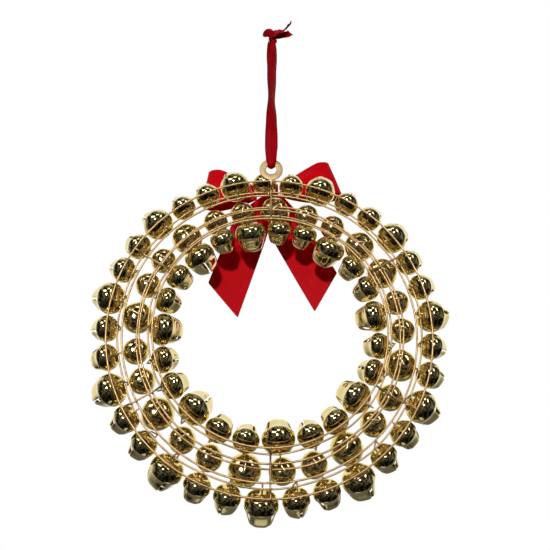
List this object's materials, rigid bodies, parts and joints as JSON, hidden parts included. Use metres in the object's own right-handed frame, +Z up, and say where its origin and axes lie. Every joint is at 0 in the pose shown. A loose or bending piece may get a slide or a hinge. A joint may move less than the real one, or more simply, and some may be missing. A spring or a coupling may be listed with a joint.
{
  "type": "jingle bell wreath ornament",
  "caption": "Round hanging wreath of gold jingle bells threaded on a wire ring frame, with a red ribbon bow and a ribbon hanging loop.",
  "frame": {"origin": "the point where a hook or nail carries the ribbon loop, just under its knot", "axes": "+Z up, -Y towards the side with the bow (the front), +Y towards the bare wire frame (the rear), +X to the right of someone who faces the bow"},
  "size_m": [0.3213, 0.0985, 0.475],
  "materials": {
    "polished_gold": "bright gold plating, polished to a mirror, on thin pressed sheet",
    "gold_wire": "pale gold plated wire, satin, with small weld beads",
    "ribbon": "deep red satin ribbon with a soft sheen and a woven edge"
  },
  "bodies": {
    "hanger": {"hanger_ribbon": "ribbon", "hanger_knot": "ribbon"},
    "wreath": {"bow_loop_left": "ribbon", "bow_loop_right": "ribbon", "bow_tail_left": "ribbon", "bow_tail_right": "ribbon", "bow_tie_wire": "gold_wire", "bow_wrap": "ribbon", "frame_ring_inner": "gold_wire", "frame_ring_mid_inner": "gold_wire", "frame_ring_mid_outer": "gold_wire", "frame_ring_outer": "gold_wire", "hanging_washer": "gold_wire", "inner_row_small_bells": "polished_gold", "middle_row_small_bells": "polished_gold", "outer_row_small_bells": "polished_gold", "strut_10": "gold_wire", "strut_12": "gold_wire", "strut_2": "gold_wire", "strut_4": "gold_wire", "strut_6": "gold_wire", "strut_8": "gold_wire"},
    "inner_bell_01": {"inner_bell_01": "polished_gold"},
    "inner_bell_02": {"inner_bell_02": "polished_gold"},
    "inner_bell_03": {"inner_bell_03": "polished_gold"},
    "inner_bell_04": {"inner_bell_04": "polished_gold"},
    "inner_bell_05": {"inner_bell_05": "polished_gold"},
    "inner_bell_06": {"inner_bell_06": "polished_gold"},
    "inner_bell_07": {"inner_bell_07": "polished_gold"},
    "inner_bell_08": {"inner_bell_08": "polished_gold"},
    "middle_bell_01": {"middle_bell_01": "polished_gold"},
    "middle_bell_02": {"middle_bell_02": "polished_gold"},
    "middle_bell_03": {"middle_bell_03": "polished_gold"},
    "middle_bell_04": {"middle_bell_04": "polished_gold"},
    "middle_bell_05": {"middle_bell_05": "polished_gold"},
    "middle_bell_06": {"middle_bell_06": "polished_gold"},
    "middle_bell_07": {"middle_bell_07": "polished_gold"},
    "middle_bell_08": {"middle_bell_08": "polished_gold"},
    "middle_bell_09": {"middle_bell_09": "polished_gold"},
    "outer_bell_01": {"outer_bell_01": "polished_gold"},
    "outer_bell_02": {"outer_bell_02": "polished_gold"},
    "outer_bell_03": {"outer_bell_03": "polished_gold"},
    "outer_bell_04": {"outer_bell_04": "polished_gold"},
    "outer_bell_05": {"outer_bell_05": "polished_gold"},
    "outer_bell_06": {"outer_bell_06": "polished_gold"},
    "outer_bell_07": {"outer_bell_07": "polished_gold"},
    "outer_bell_08": {"outer_bell_08": "polished_gold"},
    "outer_bell_09": {"outer_bell_09": "polished_gold"},
    "outer_bell_10": {"outer_bell_10": "polished_gold"},
    "outer_bell_11": {"outer_bell_11": "polished_gold"}
  },
  "joints": [
    {"name": "hang_swing", "type": "hinge", "parent": "hanger", "child": "wreath", "pos_m": [0, 0, -0.1325], "axis": [1, 0, 0], "range_deg": [-20, 10]},
    {"name": "inner_bell_01_swing", "type": "hinge", "parent": "wreath", "child": "inner_bell_01", "pos_m": [0.02085, -0.00002, -0.18447], "axis": [-0.9803, -0.0189, 0.1967], "range_deg": [-8, 2]},
    {"name": "inner_bell_02_swing", "type": "hinge", "parent": "wreath", "child": "inner_bell_02", "pos_m": [-0.06111, 0.00165, -0.20181], "axis": [-0.8151, 0.0555, -0.5766], "range_deg": [-8, 2]},
    {"name": "inner_bell_03_swing", "type": "hinge", "parent": "wreath", "child": "inner_bell_03", "pos_m": [-0.10452, 0.00852, -0.27316], "axis": [-0.1357, 0.095, -0.9862], "range_deg": [-8, 2]},
    {"name": "inner_bell_04_swing", "type": "hinge", "parent": "wreath", "child": "inner_bell_04", "pos_m": [-0.08199, 0.01626, -0.3535], "axis": [0.6293, 0.0745, -0.7736], "range_deg": [-8, 2]},
    {"name": "inner_bell_05_swing", "type": "hinge", "parent": "wreath", "child": "inner_bell_05", "pos_m": [-0.00773, 0.01998, -0.39215], "axis": [0.9973, 0.007, -0.0729], "range_deg": [-8, 2]},
    {"name": "inner_bell_06_swing", "type": "hinge", "parent": "wreath", "child": "inner_bell_06", "pos_m": [0.07141, 0.01734, -0.36472], "axis": [0.7361, -0.0649, 0.6738], "range_deg": [-8, 2]},
    {"name": "inner_bell_07_swing", "type": "hinge", "parent": "wreath", "child": "inner_bell_07", "pos_m": [0.10549, 0.01, -0.28852], "axis": [0.0105, -0.0958, 0.9953], "range_deg": [-8, 2]},
    {"name": "inner_bell_08_swing", "type": "hinge", "parent": "wreath", "child": "inner_bell_08", "pos_m": [0.07302, 0.0026, -0.21162], "axis": [-0.7218, -0.0663, 0.689], "range_deg": [-8, 2]},
    {"name": "middle_bell_01_swing", "type": "hinge", "parent": "wreath", "child": "middle_bell_01", "pos_m": [-0.10233, -0.00032, -0.23141], "axis": [-0.4848, 0.0838, -0.8706], "range_deg": [-2, 1]},
    {"name": "middle_bell_02_swing", "type": "hinge", "parent": "wreath", "child": "middle_bell_02", "pos_m": [-0.11353, 0.00783, -0.31605], "axis": [0.2419, 0.093, -0.9658], "range_deg": [-2, 1]},
    {"name": "middle_bell_03_swing", "type": "hinge", "parent": "wreath", "child": "middle_bell_03", "pos_m": [-0.06372, 0.01452, -0.38555], "axis": [0.8387, 0.0522, -0.5421], "range_deg": [-2, 1]},
    {"name": "middle_bell_04_swing", "type": "hinge", "parent": "wreath", "child": "middle_bell_04", "pos_m": [0.02032, 0.01616, -0.40257], "axis": [0.9848, -0.0166, 0.1728], "range_deg": [-2, 1]},
    {"name": "middle_bell_05_swing", "type": "hinge", "parent": "wreath", "child": "middle_bell_05", "pos_m": [0.09344, 0.01186, -0.35796], "axis": [0.6018, -0.0765, 0.795], "range_deg": [-2, 1]},
    {"name": "middle_bell_06_swing", "type": "hinge", "parent": "wreath", "child": "middle_bell_06", "pos_m": [0.11636, 0.00394, -0.2757], "axis": [-0.1045, -0.0953, 0.9899], "range_deg": [-2, 1]},
    {"name": "middle_bell_07_swing", "type": "hinge", "parent": "wreath", "child": "middle_bell_07", "pos_m": [0.07676, -0.00335, -0.19998], "axis": [-0.7547, -0.0629, 0.653], "range_deg": [-2, 1]},
    {"name": "middle_bell_08_swing", "type": "hinge", "parent": "wreath", "child": "middle_bell_08", "pos_m": [-0.00408, -0.00609, -0.17148], "axis": [-0.9994, 0.0033, -0.0347], "range_deg": [-2, 1]},
    {"name": "middle_bell_09_swing", "type": "hinge", "parent": "wreath", "child": "middle_bell_09", "pos_m": [-0.08273, -0.00281, -0.20552], "axis": [-0.7071, 0.0678, -0.7039], "range_deg": [-2, 1]},
    {"name": "outer_bell_01_swing", "type": "hinge", "parent": "wreath", "child": "outer_bell_01", "pos_m": [-0.04319, -0.00356, -0.1634], "axis": [-0.9449, 0.0314, -0.3257], "range_deg": [-1, 2.5]},
    {"name": "outer_bell_02_swing", "type": "hinge", "parent": "wreath", "child": "outer_bell_02", "pos_m": [-0.10377, 0.00058, -0.20635], "axis": [-0.618, 0.0753, -0.7825], "range_deg": [-1, 2.5]},
    {"name": "outer_bell_03_swing", "type": "hinge", "parent": "wreath", "child": "outer_bell_03", "pos_m": [-0.1314, 0.0072, -0.27509], "axis": [-0.0949, 0.0954, -0.9909], "range_deg": [-1, 2.5]},
    {"name": "outer_bell_04_swing", "type": "hinge", "parent": "wreath", "child": "outer_bell_04", "pos_m": [-0.11732, 0.0142, -0.34779], "axis": [0.4584, 0.0852, -0.8847], "range_deg": [-1, 2.5]},
    {"name": "outer_bell_05_swing", "type": "hinge", "parent": "wreath", "child": "outer_bell_05", "pos_m": [-0.06598, 0.01936, -0.40136], "axis": [0.8661, 0.0479, -0.4976], "range_deg": [-1, 2.5]},
    {"name": "outer_bell_06_swing", "type": "hinge", "parent": "wreath", "child": "outer_bell_06", "pos_m": [0.0063, 0.02104, -0.4188], "axis": [0.9989, -0.0046, 0.0475], "range_deg": [-1, 2.5]},
    {"name": "outer_bell_07_swing", "type": "hinge", "parent": "wreath", "child": "outer_bell_07", "pos_m": [0.07659, 0.0187, -0.39458], "axis": [0.8145, -0.0556, 0.5775], "range_deg": [-1, 2.5]},
    {"name": "outer_bell_08_swing", "type": "hinge", "parent": "wreath", "child": "outer_bell_08", "pos_m": [0.12255, 0.0131, -0.33637], "axis": [0.3715, -0.089, 0.9242], "range_deg": [-1, 2.5]},
    {"name": "outer_bell_09_swing", "type": "hinge", "parent": "wreath", "child": "outer_bell_09", "pos_m": [0.12961, 0.006, -0.26267], "axis": [-0.1894, -0.0941, 0.9774], "range_deg": [-1, 2.5]},
    {"name": "outer_bell_10_swing", "type": "hinge", "parent": "wreath", "child": "outer_bell_10", "pos_m": [0.09552, -0.00033, -0.19687], "axis": [-0.6902, -0.0694, 0.7203], "range_deg": [-1, 2.5]},
    {"name": "outer_bell_11_swing", "type": "hinge", "parent": "wreath", "child": "outer_bell_11", "pos_m": [0.0311, -0.0039, -0.15987], "axis": [-0.9719, -0.0226, 0.2345], "range_deg": [-1, 2.5]}
  ]
}
